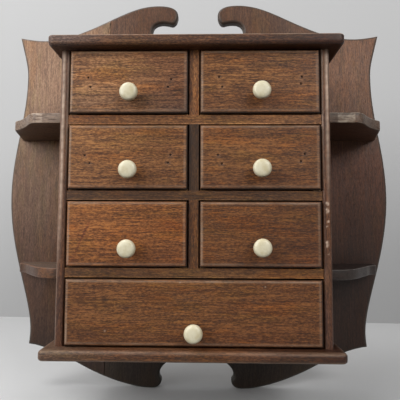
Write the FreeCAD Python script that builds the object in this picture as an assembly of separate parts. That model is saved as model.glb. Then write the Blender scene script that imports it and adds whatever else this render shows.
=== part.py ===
"""Wall-hung spice cabinet: seven drawers in a nailed case, on a scrolled backboard with four side shelves.

Frame, in millimetres: +Z up, the wall is the plane Y = 0, the front faces -Y, and the origin is on the
wall face at the middle of the case's width and height.
"""
import FreeCAD, Part
import os

Vector = FreeCAD.Vector
UP = Vector(0, 0, 1)
FORWARD = Vector(0, -1, 0)
BACKWARD = Vector(0, 1, 0)

# Case, outside sizes and openings
case_width = 241.3          # over the two side boards
case_depth = 101.0          # from the face of the backboard to the front edge of the sides
row_height = 59.6           # clear height of each row of drawers
side_thickness = 8.0
partition_thickness = 8.2   # the shelves between the rows
divider_thickness = 8.5     # the uprights between the paired drawers
top_board_thickness = 9.5
bottom_board_thickness = 9.2
paired_rows = 3             # rows of two drawers above the wide drawer
top_overhangs = (9.0, 11.0)     # past the case's left and right sides: both boards lie a little askew
bottom_overhangs = (10.2, 8.6)
top_overhang_front = 12.2
bottom_overhang_front = 13.3
board_corner_radius = 5.5
top_board_upper_radius = 1.6
top_board_lower_radius = 3.6
bottom_board_radius = 4.0
side_edge_radius = 3.0
rail_setback = 0.8          # front edges of partitions and dividers behind the front edge of the sides
housing_depth = 3.0         # partitions let into the sides
divider_housing = 2.0       # dividers let into the boards above and below
housing_stop = 9.0          # the housings stop this far behind the rails' front edge
housing_clearance = 0.05

# Backboard: how far its outline reaches past the case, sideways, upwards and downwards
back_thickness = 9.5
back_edge_radius = 3.2
ear_reach = 82.3            # upper tip of the wing, out from the case side
ear_rise = 47.8             # and up from the top of the case
upper_waist_reach = 73.1
belly_reach = 87.8
lower_waist_reach = 62.0
foot_reach = 63.1
foot_drop = 14.3            # lower tip of the wing, below the case
crown_rise = 84.8           # top of the scrolls above the top of the case
scroll_gap = 45.2           # between the noses of the two upper scrolls
crown_from_nose = 22.9      # highest point of the scroll, sideways from its nose
nose_rise = 73.0            # height of the nose above the top of the case
hook_rise = 62.7            # lowest point of the hook above the top of the case
neck_width = 103.6          # widest part of the notch, under the hooks
neck_rise = 53.6
notch_floor_rise = 33.2
lobe_drop = 59.8            # lowest point of the lower scrolls below the case
lobe_gap = 75.6             # between the noses of the two lower scrolls
lobe_from_nose = 11.0
arch_width = 80.2
arch_spring = 45.0          # below the case
arch_crown = 23.5           # below the case
left_joint_inset = 21.2     # the left edge joint of the backboard, inside the case's left side
right_joint_reach = 17.4    # the right one, outside the case's right side

# Side shelves, seen from above
shelf_thickness = 9.4
upper_shelf_drop = 62.5     # top face below the top of the case
upper_shelf_depth = 83.6
upper_shelf_flat = 28.0     # straight front, from the case side
upper_nose_reach = 62.2     # where the ogee ends
upper_nose_depth = 51.8
lower_shelf_rise = 74.7     # top face above the bottom of the case
lower_shelf_depth = 80.0
lower_shelf_flat = 8.0
lower_nose_reach = 66.8
lower_nose_depth = 19.6
upper_turn = (0.48, 0.48)   # where the ogee turns: its share of the way outwards, and back
lower_turn = (0.65, 0.59)
shelf_nose_radius = 3.0
shelf_end_inset = 4.5       # the shelf's end at the wall, in from the edge of the wing

# Drawers
front_thickness = 9.5
front_proud = 2.2           # drawer fronts stand out from the case sides
front_edge_radius = 1.8
front_side_gap = 1.2
front_top_gap = 1.2
front_bottom_gap = 1.0
drawer_side_thickness = 6.0
drawer_back_thickness = 6.0
drawer_bottom_thickness = 4.0
side_rabbet_depth = 5.0     # how far the drawer sides lap into the front
bottom_groove_depth = 3.0
bottom_groove_height = 5.0  # underside of the drawer bottom above the lower edge of the sides
groove_clearance = 0.1
running_gap = 0.3           # drawer sides above the board that they run on
side_top_gap = 2.2
stop_gap = 0.5              # between a closed drawer and the backboard
knob_rise = 17.8            # knobs above the board that the drawer runs on
wide_knob_rise = 14.6
left_knob_stray = (1.9, -0.6)   # knobs set by eye: how far each column lies off its mark, across and up
right_knob_stray = (0.4, 0.6)
wide_knob_stray = (0.6, 0.0)

# Knobs and their screws
knob_diameter = 15.9
knob_projection = 14.5
knob_foot_diameter = 9.4
knob_neck_diameter = 7.4
screw_diameter = 3.2
screw_head_diameter = 6.8
screw_head_height = 2.0
screw_in_knob = 8.0
screw_clearance = 0.1

# Cut nails: as thick at the tip as at the head, and tapered in width
nail_thickness = 1.5
nail_head_width = 2.6
nail_tip_width = 1.2
nail_length = 24.0
nail_clearance = 0.05
nail_set = 0.6              # heads below the surface
nail_end_distance = 18.0    # first and last nail of a row, from the ends of the joint

# Planes that the pieces share
back_face = -back_thickness
case_front = back_face - case_depth
rail_front = case_front + rail_setback
half_width = case_width / 2
inner_half = half_width - side_thickness
rows_height = (paired_rows + 1) * row_height + paired_rows * partition_thickness
case_height = top_board_thickness + rows_height + bottom_board_thickness
case_top = case_height / 2
case_bottom = -case_top
floor_of_case = case_bottom + bottom_board_thickness
ceiling_of_case = case_top - top_board_thickness
row_pitch = row_height + partition_thickness


def box(x0, x1, y0, y1, z0, z1):
    """A block between two corners."""
    return Part.makeBox(x1 - x0, y1 - y0, z1 - z0, Vector(x0, y0, z0))


def mirrored(shape):
    """The shape on the other side of the middle of the case."""
    return shape.mirror(Vector(0, 0, 0), Vector(1, 0, 0))


def bezier(points):
    """A cubic curve from the first point to the last, tangent to its two handles."""
    curve = Part.BezierCurve()
    curve.setPoles(points)
    return curve.toShape()


def edges_where(shape, test):
    """The shape's edges whose vertices and middle all pass the test."""
    chosen = []
    for edge in shape.Edges:
        middle = edge.valueAt((edge.FirstParameter + edge.LastParameter) / 2)
        points = [vertex.Point for vertex in edge.Vertexes] + [middle]
        if all(test(point) for point in points):
            chosen.append(edge)
    return chosen


def near(a, b):
    """Whether two lengths are the same."""
    return abs(a - b) < 1e-4


def row_floor(row):
    """Height of the board that the drawers of a row run on; row 0 is the wide drawer's."""
    return floor_of_case + row * row_pitch


# Backboard

def step(x, z):
    """A step in the plane of the backboard."""
    return Vector(x, 0, z)


def backboard_half_outline():
    """The right half of the outline, from the middle of the top notch round to the middle of the arch."""

    def at(x, z):
        return Vector(x, back_face, z)

    notch_floor = at(0, case_top + notch_floor_rise)
    neck = at(neck_width / 2, case_top + neck_rise)
    hook = at(scroll_gap / 2 + 8.0, case_top + hook_rise)
    nose = at(scroll_gap / 2, case_top + nose_rise)
    crown = at(scroll_gap / 2 + crown_from_nose, case_top + crown_rise)
    slope = at(half_width, case_top + 58.6)
    ear = at(half_width + ear_reach, case_top + ear_rise)
    upper_waist = at(half_width + upper_waist_reach, case_top)
    belly = at(half_width + belly_reach, 6.5)
    lower_waist = at(half_width + lower_waist_reach, case_bottom + 0.8)
    foot = at(half_width + foot_reach, case_bottom - foot_drop)
    heel = at(half_width + 5.6, case_bottom - 36.0)
    lobe = at(lobe_gap / 2 + lobe_from_nose, case_bottom - lobe_drop)
    lobe_nose = at(lobe_gap / 2, case_bottom - lobe_drop + 7.8)
    spring = at(arch_width / 2, case_bottom - arch_spring)
    arch = at(0, case_bottom - arch_crown)
    return [
        bezier([notch_floor, notch_floor + step(24, 0), neck - step(0, 10), neck]),
        bezier([neck, neck + step(0, 11), hook + step(10, 3), hook]),
        bezier([hook, hook - step(5, 1.5), nose - step(0, 5), nose]),
        bezier([nose, nose + step(0, 9), crown - step(12.9, 0), crown]),
        bezier([crown, crown + step(26.4, 0), slope + step(-28.3, 12.2), slope]),
        bezier([slope, slope + step(36, -15.5), ear - step(29.8, 6), ear]),
        bezier([ear, ear - step(6.9, 28), upper_waist + step(0, 13.7), upper_waist]),
        bezier([upper_waist, upper_waist - step(0, 48.2), belly + step(0, 51), belly]),
        bezier([belly, belly - step(0, 61.3), lower_waist + step(0, 33.7), lower_waist]),
        bezier([lower_waist, lower_waist - step(0, 5), foot + step(-0.6, 5), foot]),
        bezier([foot, foot - step(17.1, 1.8), heel + step(19.3, 10.4), heel]),
        bezier([heel, heel - step(23.2, 12.5), lobe + step(22, 0), lobe]),
        bezier([lobe, lobe - step(7, 0), lobe_nose - step(0, 4.3), lobe_nose]),
        bezier([lobe_nose, lobe_nose + step(0, 4), spring - step(0, 4), spring]),
        bezier([spring, spring + step(0, 10.5), arch + step(21.7, 0), arch]),
    ]


def backboard():
    """The whole scrolled board, its front edge rounded all round."""
    half = backboard_half_outline()
    outline = Part.Wire(Part.__sortEdges__(half + [mirrored(edge) for edge in half]))
    board = Part.Face(outline).extrude(Vector(0, back_thickness, 0))
    rounded = edges_where(board, lambda point: near(point.y, back_face))
    return board.makeFillet(back_edge_radius, rounded)


def backboards():
    """The scrolled board as the three boards that it is glued up from, edge to edge."""
    whole = backboard()
    reach = 2 * case_width
    joints = [-reach, left_joint_inset - half_width, half_width + right_joint_reach, reach]
    names = ["backboard_left", "backboard_centre", "backboard_right"]
    boards = {}
    for name, low, high in zip(names, joints, joints[1:]):
        boards[name] = whole.common(box(low, high, -back_thickness - 1, 1, -reach, reach))
    return boards


# Case

def side_board():
    """The right side of the case, with the housings for the partitions."""
    side = box(inner_half, half_width, case_front, back_face, floor_of_case, ceiling_of_case)
    front_edges = edges_where(side, lambda point: near(point.y, case_front))
    uprights = [edge for edge in front_edges if near(edge.Vertexes[0].X, edge.Vertexes[1].X)]
    side = side.makeFillet(side_edge_radius, uprights)
    for row in range(1, paired_rows + 1):
        top = row_floor(row)
        side = side.cut(
            box(
                inner_half,
                inner_half + housing_depth + housing_clearance,
                rail_front + housing_stop - housing_clearance,
                back_face,
                top - partition_thickness,
                top,
            )
        )
    return side


def moulded_board(z0, thickness, overhangs, overhang_front, upper_radius, lower_radius):
    """Top or bottom board: rounded corners in plan, and rounded edges at the front and the two ends."""
    left = -half_width - overhangs[0]
    right = half_width + overhangs[1]
    front = case_front - overhang_front
    board = box(left, right, front, back_face, z0, z0 + thickness)
    corners = edges_where(board, lambda point: near(point.y, front))
    corners = [edge for edge in corners if near(edge.Vertexes[0].X, edge.Vertexes[1].X)]
    board = board.makeFillet(board_corner_radius, corners)
    for z, radius in ((z0 + thickness, upper_radius), (z0, lower_radius)):
        rim = edges_where(board, lambda point: near(point.z, z))
        rim = [edge for edge in rim if not near(edge.BoundBox.YMin, back_face)]
        board = board.makeFillet(radius, rim)
    return board


def divider_slot(z0, z1):
    """The space that the end of a divider takes in the board above or below it."""
    half = divider_thickness / 2
    return box(-half, half, rail_front + housing_stop - housing_clearance, back_face, z0, z1)


def top_board():
    board = moulded_board(
        ceiling_of_case,
        top_board_thickness,
        top_overhangs,
        top_overhang_front,
        top_board_upper_radius,
        top_board_lower_radius,
    )
    return board.cut(divider_slot(ceiling_of_case, ceiling_of_case + divider_housing + housing_clearance))


def bottom_board():
    return moulded_board(
        case_bottom,
        bottom_board_thickness,
        bottom_overhangs,
        bottom_overhang_front,
        bottom_board_radius,
        bottom_board_radius,
    )


def partition(row):
    """The board under a row: a full-depth shelf whose tongues stop short of the front."""
    top = row_floor(row)
    low = top - partition_thickness
    tongue_front = rail_front + housing_stop
    tongue_half = inner_half + housing_depth
    board = box(-inner_half, inner_half, rail_front, tongue_front, low, top)
    board = board.fuse(box(-tongue_half, tongue_half, tongue_front, back_face, low, top)).removeSplitter()
    board = board.cut(divider_slot(top - divider_housing - housing_clearance, top))
    if row > 1:
        board = board.cut(divider_slot(low, low + divider_housing + housing_clearance))
    return board


def divider(row):
    """The upright between a pair of drawers, with tongues that stop short of the front."""
    half = divider_thickness / 2
    low = row_floor(row)
    high = low + row_height
    tongue_front = rail_front + housing_stop
    upright = box(-half, half, rail_front, tongue_front, low, high)
    tongue = box(-half, half, tongue_front, back_face, low - divider_housing, high + divider_housing)
    return upright.fuse(tongue).removeSplitter()


# Side shelves

def shelf(top, depth, flat, nose_reach, nose_depth, turn, wall_reach):
    """A right-hand shelf: straight front, an ogee out to a rounded nose, then back to the wing.

    The ogee changes its curve at turn, a share of the way outwards and a share of the way back.
    """
    low = top - shelf_thickness

    def at(reach, forward):
        return Vector(half_width + reach, back_face - forward, low)

    run = nose_reach - flat
    fall = depth - nose_depth
    corner = at(flat, depth)
    middle = at(flat + turn[0] * run, depth - turn[1] * fall)
    nose = at(nose_reach, nose_depth)
    steepest = Vector(0.3 * run, 0.4 * fall, 0)
    flattest = Vector(0.2 * run, 0.12 * fall, 0)
    outline = Part.Wire(
        [
            Part.makeLine(at(0, 0), at(0, depth)),
            Part.makeLine(at(0, depth), corner),
            bezier([corner, corner + Vector(0.5 * turn[0] * run, 0, 0), middle - 0.5 * steepest, middle]),
            bezier([middle, middle + 0.5 * steepest, nose - flattest, nose]),
            Part.makeLine(nose, at(wall_reach, 0)),
            Part.makeLine(at(wall_reach, 0), at(0, 0)),
        ]
    )
    board = Part.Face(outline).extrude(UP * shelf_thickness)
    nose_edges = edges_where(board, lambda point: near(point.x, nose.x) and near(point.y, nose.y))
    return board.makeFillet(shelf_nose_radius, nose_edges)


def wing_reach(z):
    """How far the wing reaches past the case side at a height, taken from its own outline."""
    far = half_width + 2 * belly_reach
    level = Part.makeLine(Vector(half_width, back_face, z), Vector(far, back_face, z))
    reaches = []
    for edge in backboard_half_outline():
        gap, pairs, _ = level.distToShape(edge)
        if gap < 1e-6:
            reaches.extend(pair[0].x - half_width for pair in pairs)
    return max(reaches)


def shelves():
    """Two pairs of shelves on the wings, each pair a mirror image."""
    upper_top = case_top - upper_shelf_drop
    upper_end = min(wing_reach(upper_top), wing_reach(upper_top - shelf_thickness)) - shelf_end_inset
    upper = shelf(
        upper_top,
        upper_shelf_depth,
        upper_shelf_flat,
        upper_nose_reach,
        upper_nose_depth,
        upper_turn,
        upper_end,
    )
    lower_top = case_bottom + lower_shelf_rise
    lower_end = min(wing_reach(lower_top), wing_reach(lower_top - shelf_thickness)) - shelf_end_inset
    lower = shelf(
        lower_top,
        lower_shelf_depth,
        lower_shelf_flat,
        lower_nose_reach,
        lower_nose_depth,
        lower_turn,
        lower_end,
    )
    return {
        "shelf_upper_right": upper,
        "shelf_upper_left": mirrored(upper),
        "shelf_lower_right": lower,
        "shelf_lower_left": mirrored(lower),
    }


# Nails

def spread(low, high, count):
    """Places of a row of nails along a joint."""
    first = low + nail_end_distance
    last = high - nail_end_distance
    return [first + (last - first) * i / (count - 1) for i in range(count)]


def nail_places():
    """Where each nail's head lies and which way it is driven, for the right half of the case."""
    places = []
    side_middle = half_width - side_thickness / 2
    for y in spread(case_front, back_face, 2):
        places.append((Vector(side_middle, y, case_top - nail_set), -UP))
        places.append((Vector(side_middle, y, case_bottom + nail_set), UP))
        for row in range(1, paired_rows + 1):
            z = row_floor(row) - partition_thickness / 2
            places.append((Vector(half_width - nail_set, y, z), Vector(-1, 0, 0)))
    for z in spread(floor_of_case, ceiling_of_case, 3):
        places.append((Vector(side_middle, -nail_set, z), FORWARD))
    shelf_run = wing_reach(case_bottom + lower_shelf_rise)
    for top in (case_top - upper_shelf_drop, case_bottom + lower_shelf_rise):
        for reach in spread(0, shelf_run, 2):
            places.append((Vector(half_width + reach, -nail_set, top - shelf_thickness / 2), FORWARD))
    return places


def nail(head, direction, clearance, head_room):
    """A cut nail driven from its head, or the hole round it, which starts higher by the head room."""
    wide = nail_head_width / 2 + clearance
    tip = nail_tip_width / 2 + clearance
    half = nail_thickness / 2 + clearance
    length = nail_length + clearance
    outline = [
        Vector(-wide, -half, -head_room),
        Vector(wide, -half, -head_room),
        Vector(wide, -half, 0),
        Vector(tip, -half, length),
        Vector(-tip, -half, length),
        Vector(-wide, -half, 0),
    ]
    if head_room == 0:
        outline = outline[2:]
    blank = Part.Face(Part.makePolygon(outline + outline[:1])).extrude(Vector(0, 2 * half, 0))
    blank.Placement = FreeCAD.Placement(head, FreeCAD.Rotation(UP, direction))
    return blank


def nails(clearance, head_room):
    """Every nail, or every hole, on both sides of the case."""
    right = [nail(head, direction, clearance, head_room) for head, direction in nail_places()]
    return right + [mirrored(shape) for shape in right]


def nailed(shape, holes):
    """The piece with the holes of the nails that reach it."""
    reaching = [hole for hole in holes if hole.BoundBox.intersect(shape.BoundBox)]
    reaching = [hole for hole in reaching if hole.common(shape).Volume > 1e-3]
    return shape.cut(reaching) if reaching else shape


# Drawers

def drawer_front(middle, width, floor, knob_x, knob_z):
    """The front: rounded face edges, end rabbets for the sides, a groove for the bottom, the knob's hole."""
    face = case_front - front_proud
    inside = face + front_thickness
    half = width / 2
    low = floor + front_bottom_gap
    high = floor + row_height - front_top_gap
    front = box(middle - half, middle + half, face, inside, low, high)
    front = front.makeFillet(front_edge_radius, edges_where(front, lambda point: near(point.y, face)))
    rabbet_start = inside - side_rabbet_depth
    inner = half - drawer_side_thickness
    groove_low = floor + running_gap + bottom_groove_height - groove_clearance
    groove_high = groove_low + drawer_bottom_thickness + 2 * groove_clearance
    groove_start = inside - bottom_groove_depth - groove_clearance
    cuts = [
        box(middle - half, middle - inner, rabbet_start, inside, low, high),
        box(middle + inner, middle + half, rabbet_start, inside, low, high),
        box(middle - inner, middle + inner, groove_start, inside, groove_low, groove_high),
        Part.makeCylinder(
            screw_diameter / 2 + screw_clearance, front_thickness, Vector(knob_x, face, knob_z), BACKWARD
        ),
    ]
    return front.cut(cuts)


def drawer_sides(middle, width, floor):
    """The pair of sides, grooved for the bottom."""
    start = case_front - front_proud + front_thickness - side_rabbet_depth
    end = back_face - stop_gap
    half = width / 2
    inner = half - drawer_side_thickness
    low = floor + running_gap
    high = floor + row_height - side_top_gap
    groove_low = low + bottom_groove_height - groove_clearance
    groove_high = groove_low + drawer_bottom_thickness + 2 * groove_clearance
    groove_inner = inner + bottom_groove_depth + groove_clearance
    pair = []
    for x0, x1, g0, g1 in ((-half, -inner, -groove_inner, -inner), (inner, half, inner, groove_inner)):
        side = box(middle + x0, middle + x1, start, end, low, high)
        pair.append(side.cut(box(middle + g0, middle + g1, start, end, groove_low, groove_high)))
    return Part.makeCompound(pair)


def drawer_bottom(middle, width, floor):
    """The thin bottom, slid into the grooves from behind, under the back."""
    start = case_front - front_proud + front_thickness - bottom_groove_depth
    end = back_face - stop_gap
    half = width / 2 - drawer_side_thickness + bottom_groove_depth
    low = floor + running_gap + bottom_groove_height
    return box(middle - half, middle + half, start, end, low, low + drawer_bottom_thickness)


def drawer_back(middle, width, floor):
    """The back, between the sides and standing on the bottom."""
    end = back_face - stop_gap
    half = width / 2 - drawer_side_thickness
    low = floor + running_gap + bottom_groove_height + drawer_bottom_thickness
    high = floor + row_height - side_top_gap
    return box(middle - half, middle + half, end - drawer_back_thickness, end, low, high)


def knob(middle, z):
    """A turned mushroom knob with a blind hole for its screw."""
    face = case_front - front_proud
    foot = knob_foot_diameter / 2
    neck = knob_neck_diameter / 2
    rim = knob_diameter / 2
    neck_at = 0.28 * knob_projection
    under_head = 0.50 * knob_projection
    rim_at = 0.72 * knob_projection
    shoulder_at = 0.94 * knob_projection

    def at(radius, out):
        return Vector(middle + radius, face - out, z)

    crown = at(0, knob_projection)
    profile = Part.Wire(
        [
            Part.makeLine(at(0, 0), at(foot, 0)),
            Part.makeLine(at(foot, 0), at(foot, 1.0)),
            bezier([at(foot, 1.0), at(neck, 1.6), at(neck, 0.8 * neck_at), at(neck, neck_at)]),
            bezier([at(neck, neck_at), at(neck, under_head), at(rim, under_head), at(rim, rim_at)]),
            bezier([at(rim, rim_at), at(rim, shoulder_at), at(0.8 * rim, knob_projection), crown]),
            Part.makeLine(crown, at(0, 0)),
        ]
    )
    turned = Part.Face(profile).revolve(Vector(middle, face, z), FORWARD, 360)
    bore = screw_diameter / 2 + screw_clearance
    hole = Part.makeCylinder(bore, screw_in_knob + screw_clearance, Vector(middle, face, z), FORWARD)
    return turned.cut(hole)


def knob_screw(middle, z):
    """The screw that holds a knob from inside the drawer."""
    inside = case_front - front_proud + front_thickness
    length = front_thickness + screw_in_knob
    shank = Part.makeCylinder(screw_diameter / 2, length, Vector(middle, inside, z), FORWARD)
    head = Part.makeCone(
        screw_head_diameter / 2,
        screw_head_diameter / 3,
        screw_head_height,
        Vector(middle, inside, z),
        BACKWARD,
    )
    return head.fuse(shank).removeSplitter()


def drawer(name, middle, opening, floor, rise, stray):
    """The six nodes of one drawer, closed."""
    width = opening - 2 * front_side_gap
    knob_x = middle + stray[0]
    knob_z = floor + rise + stray[1]
    return {
        name + "_drawer_front": drawer_front(middle, width, floor, knob_x, knob_z),
        name + "_drawer_sides": drawer_sides(middle, width, floor),
        name + "_drawer_bottom": drawer_bottom(middle, width, floor),
        name + "_drawer_back": drawer_back(middle, width, floor),
        name + "_knob": knob(knob_x, knob_z),
        name + "_knob_screw": knob_screw(knob_x, knob_z),
    }


def drawers():
    """A wide drawer at the foot of the case, and pairs of small drawers above it."""
    pieces = drawer("wide", 0, 2 * inner_half, row_floor(0), wide_knob_rise, wide_knob_stray)
    opening = inner_half - divider_thickness / 2
    middle = (inner_half + divider_thickness / 2) / 2
    for row, level in zip(range(1, paired_rows + 1), ("third", "second", "top")):
        floor = row_floor(row)
        pieces.update(drawer(level + "_left", -middle, opening, floor, knob_rise, left_knob_stray))
        pieces.update(drawer(level + "_right", middle, opening, floor, knob_rise, right_knob_stray))
    return pieces


def cabinet():
    """Every named piece of the cabinet."""
    holes = nails(nail_clearance, nail_set)
    case = backboards()
    case["side_right"] = side_board()
    case["side_left"] = mirrored(side_board())
    case["top_board"] = top_board()
    case["bottom_board"] = bottom_board()
    for row, level in zip(range(1, paired_rows + 1), ("lower", "middle", "upper")):
        case["partition_" + level] = partition(row)
        case["divider_" + level] = divider(row)
    case.update(shelves())
    pieces = {name: nailed(shape, holes) for name, shape in case.items()}
    pieces["case_nails"] = Part.makeCompound(nails(0, 0))
    pieces.update(drawers())
    return pieces


os.makedirs("parts", exist_ok=True)
for name, shape in cabinet().items():
    shape.exportStep("parts/" + name + ".step")
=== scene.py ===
import bpy
import numpy as np
from mathutils import Euler, Matrix, Vector


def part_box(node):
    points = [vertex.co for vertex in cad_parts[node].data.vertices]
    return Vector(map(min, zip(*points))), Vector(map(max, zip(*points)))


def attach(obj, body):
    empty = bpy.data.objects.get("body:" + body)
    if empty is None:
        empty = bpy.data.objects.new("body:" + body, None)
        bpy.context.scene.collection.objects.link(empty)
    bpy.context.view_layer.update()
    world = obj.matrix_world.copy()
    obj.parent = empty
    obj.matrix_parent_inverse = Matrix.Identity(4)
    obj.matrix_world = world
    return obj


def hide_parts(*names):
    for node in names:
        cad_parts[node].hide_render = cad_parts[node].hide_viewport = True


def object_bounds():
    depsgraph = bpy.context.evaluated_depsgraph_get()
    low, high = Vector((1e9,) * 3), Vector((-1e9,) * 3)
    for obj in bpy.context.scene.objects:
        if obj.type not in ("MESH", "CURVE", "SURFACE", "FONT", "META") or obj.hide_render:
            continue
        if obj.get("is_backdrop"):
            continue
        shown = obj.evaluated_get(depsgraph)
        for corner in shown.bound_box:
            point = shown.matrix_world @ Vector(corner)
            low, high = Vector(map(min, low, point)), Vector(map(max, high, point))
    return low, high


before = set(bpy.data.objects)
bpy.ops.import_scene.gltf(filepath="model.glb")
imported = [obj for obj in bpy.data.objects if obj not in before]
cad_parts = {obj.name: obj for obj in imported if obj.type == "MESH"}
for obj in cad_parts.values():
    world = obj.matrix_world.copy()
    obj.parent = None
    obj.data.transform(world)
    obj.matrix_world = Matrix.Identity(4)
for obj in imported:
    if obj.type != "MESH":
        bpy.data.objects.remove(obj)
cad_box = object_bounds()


# ---- Backboard -------------------------------------------------------------------------------
# Three boards glued edge to edge and fret-sawn to scrolls, wings and lobes, the front edge rounded.
# Dark-stained hardwood under an old satin varnish; the case is nailed to it through the back.

MM = 0.001
X, Y, Z = range(3)        # to the right, back to the wall, and up
back_low, back_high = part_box("backboard_centre")
back_thickness = back_high[Y] - back_low[Y]
half_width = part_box("side_right")[1][X]
case_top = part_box("top_board")[1][Z]
case_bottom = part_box("bottom_board")[0][Z]
back_edge_radius = 3.2 * MM
back_edge_grey_band = (0.495, 1.045)  # as shares of that radius: fully grey up to the first, and not past the second
back_arris = 0.3 * MM
glue_line_ease = 0.10     # share of the rounding that a glued edge gets
steps_per_curve = 28
tip_run = 5.3             # mm of each curve next to a sharp tip that are drawn as one straight
same_point = 0.01         # mm
least_bend = 1e-4         # sine of the smallest bend that is mitred
arc_steps = 7
smooth_below = np.radians(38)


def bezier(poles, steps=steps_per_curve):
    """Points of a cubic curve: the four poles weighted by (1-t)^3, 3t(1-t)^2, 3t^2(1-t) and t^3."""
    t = np.linspace(0, 1, steps + 1)[:-1, None]
    weights = ((1 - t) ** 3, 3 * t * (1 - t) ** 2, 3 * t**2 * (1 - t), t**3)
    return sum(weight * np.array(pole, float) for weight, pole in zip(weights, poles))


def scrolled_outline():
    """The outline, anticlockwise seen from the front: a chain of curves down the right half, mirrored."""
    side = half_width / MM
    top = case_top / MM
    low = case_bottom / MM
    floor = (0, top + 33.2)
    neck = (51.8, top + 53.6)
    hook = (30.6, top + 62.7)
    nose = (22.6, top + 73)
    crown = (45.5, top + 84.8)
    slope = (side, top + 58.6)
    ear = (side + 82.3, top + 47.8)
    upper_waist = (side + 73.1, top)
    belly = (side + 87.8, 6.5)
    lower_waist = (side + 62, low + 0.8)
    foot = (side + 63.1, low - 14.3)
    heel = (side + 5.6, low - 36)
    lobe = (48.8, low - 59.8)
    lobe_nose = (37.8, low - 52)
    spring = (40.1, low - 45)
    arch = (0, low - 23.5)
    # For each curve: its end, and the steps to its handles from its start and from its end
    chain = [
        (neck, (24, 0), (0, -10)),
        (hook, (0, 11), (10, 3)),
        (nose, (-5, -1.5), (0, -5)),
        (crown, (0, 9), (-12.9, 0)),
        (slope, (26.4, 0), (-28.3, 12.2)),
        (ear, (36, -15.5), (-29.8, -6)),
        (upper_waist, (-6.9, -28), (0, 13.7)),
        (belly, (0, -48.2), (0, 51)),
        (lower_waist, (0, -61.3), (0, 33.7)),
        (foot, (0, -5), (-0.6, 5)),
        (heel, (-17.1, -1.8), (19.3, 10.4)),
        (lobe, (-23.2, -12.5), (22, 0)),
        (lobe_nose, (-7, 0), (0, -4.3)),
        (spring, (0, 4), (0, -4)),
        (arch, (0, 10.5), (21.7, 0)),
    ]
    right = []
    start = floor
    for end, leaving, arriving in chain:
        right.append(bezier((start, np.add(start, leaving), np.add(end, arriving), end)))
        start = end
    right = np.vstack(right)
    for tip in (ear, foot):
        away = np.linalg.norm(right - tip, axis=1)
        right = right[(away > tip_run) | (away < same_point)]
    left = right[1:][::-1] * (-1, 1)
    return np.vstack([right, [arch], left])[::-1] * MM


def clipped(outline, low, high):
    """The closed outline between two uprights, and for each point whether a straight cut follows it."""
    after = np.roll(outline, -1, axis=0)
    place = np.arange(len(outline), dtype=float)
    inside = (outline[:, 0] > low) & (outline[:, 0] < high)
    points = [outline[inside]]
    places = [place[inside]]
    cuts = [np.zeros(inside.sum(), bool)]
    for edge in (low, high):
        crossing = (outline[:, 0] - edge) * (after[:, 0] - edge) < 0
        run = (after - outline)[crossing]
        share = (edge - outline[crossing, 0]) / run[:, 0]
        points.append(outline[crossing] + share[:, None] * run)
        places.append(place[crossing] + share)
        cuts.append(inside[crossing])
    order = np.argsort(np.concatenate(places))
    return np.vstack(points)[order], np.concatenate(cuts)[order]


def inward(outline, shares):
    """For each point, the step that moves the runs on both sides of it inwards, each by its share."""
    run = np.roll(outline, -1, axis=0) - outline
    run = run / np.linalg.norm(run, axis=1)[:, None]
    normal = np.stack([-run[:, 1], run[:, 0]], axis=1)
    before = np.roll(normal, 1, axis=0)
    shares_before = np.roll(shares, 1)
    turn = before[:, 0] * normal[:, 1] - before[:, 1] * normal[:, 0]
    straight = np.abs(turn) < least_bend
    turn = np.where(straight, 1, turn)
    first = (shares_before * normal[:, 1] - shares * before[:, 1]) / turn
    second = (shares * before[:, 0] - shares_before * normal[:, 0]) / turn
    mitre = np.stack([first, second], axis=1)
    return np.where(straight[:, None], normal * shares[:, None], mitre)


def quarter(radius, steps=arc_steps):
    """Insets and depths of a quarter round, from a wall (inset 0, depth radius) to a face (radius, 0)."""
    angle = np.linspace(0, np.pi / 2, steps + 1)
    return np.stack([radius * (1 - np.cos(angle)), radius * (1 - np.sin(angle))], axis=1)


def wrapped(name, rings, **attributes):
    """A closed piece from rings[t, s, xyz]: quads between neighbouring rings and a flat face on each end.

    The rings run anticlockwise seen from the last one, so that the faces point outwards. The shading is
    smooth over gentle bends and crisp at arrises.
    """
    count, around = rings.shape[:2]
    index = np.arange(count * around).reshape(count, around)
    ahead = np.roll(index, -1, axis=1)
    quads = np.stack([index[:-1], ahead[:-1], ahead[1:], index[1:]], axis=-1).reshape(-1, 4)
    faces = quads.tolist() + [index[0][::-1].tolist(), index[-1].tolist()]
    mesh = bpy.data.meshes.new(name)
    mesh.from_pydata(rings.reshape(-1, 3).tolist(), [], faces)
    for label, values in attributes.items():
        spread = np.broadcast_to(values, rings.shape[:2])
        mesh.attributes.new(label, "FLOAT", "POINT").data.foreach_set("value", spread.ravel())
    mesh.polygons.foreach_set("use_smooth", np.ones(len(mesh.polygons), bool))
    mesh.set_sharp_from_angle(angle=smooth_below)
    mesh.update()
    piece = bpy.data.objects.new(name, mesh)
    bpy.context.collection.objects.link(piece)
    return piece


def linear(red, green, blue):
    """A colour of 0 to 255 per channel as the linear values that a shader takes."""
    share = np.array([red, green, blue]) / 255
    return tuple(np.where(share <= 0.04045, share / 12.92, ((share + 0.055) / 1.055) ** 2.4)) + (1.0,)


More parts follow.
